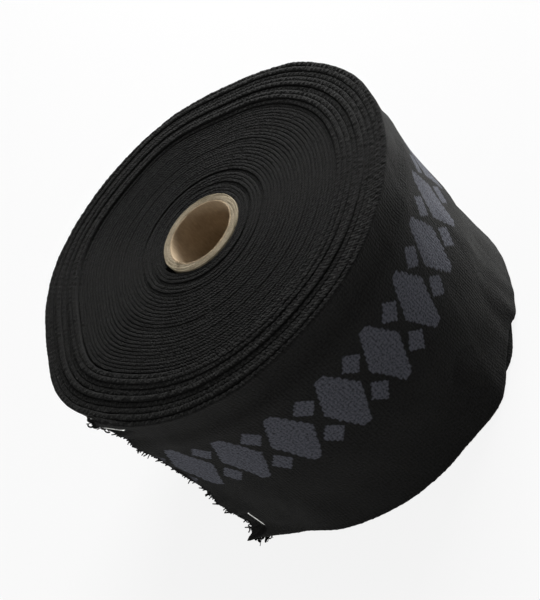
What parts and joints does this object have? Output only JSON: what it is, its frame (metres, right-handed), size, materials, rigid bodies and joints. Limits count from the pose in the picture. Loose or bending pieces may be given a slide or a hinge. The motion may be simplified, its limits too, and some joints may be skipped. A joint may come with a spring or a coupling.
{
  "type": "hand wrap",
  "caption": "Bulk roll of black ribbed hand-wrap strip wound on a cardboard core, its frayed cut end held down with wire staples.",
  "frame": {"origin": "on the winding axis, in the plane of the lower end face that the roll stands on", "axes": "+Z along the winding axis, towards the upper end face; +X and +Y across the roll, with the cut end at about 207.5 degrees from +X"},
  "size_m": [0.1449, 0.1434, 0.0923],
  "materials": {
    "core_liner": "matt paperboard, smooth liner",
    "core_board": "matt paperboard, laminated plies",
    "core_cover": "matt paperboard, cover ply",
    "tape": "thin paper tape",
    "wrap": "ribbed woven yarn, matt black",
    "wrap_end": "ribbed woven yarn, matt black",
    "yarn": "frayed yarn ends, matt black",
    "staple_wire": "galvanised wire"
  },
  "bodies": {
    "roll": {"core_liner_ply": "core_liner", "core_body_plies": "core_board", "core_cover_ply": "core_cover", "start_tape": "tape", "wrap_inner_turns": "wrap", "wrap_outer_turns": "wrap"},
    "free_end": {"wrap_free_end": "wrap_end", "staple_upper": "staple_wire", "staple_lower": "staple_wire", "cut_edge_yarns": "yarn", "upper_corner_yarns": "yarn", "lower_corner_yarns": "yarn"}
  },
  "joints": [
    {"name": "free_end_peel", "type": "hinge", "parent": "roll", "child": "free_end", "pos_m": [-0.02859, -0.06672, 0.046], "axis": [0, 0, 1], "range_deg": [0, 85]}
  ]
}
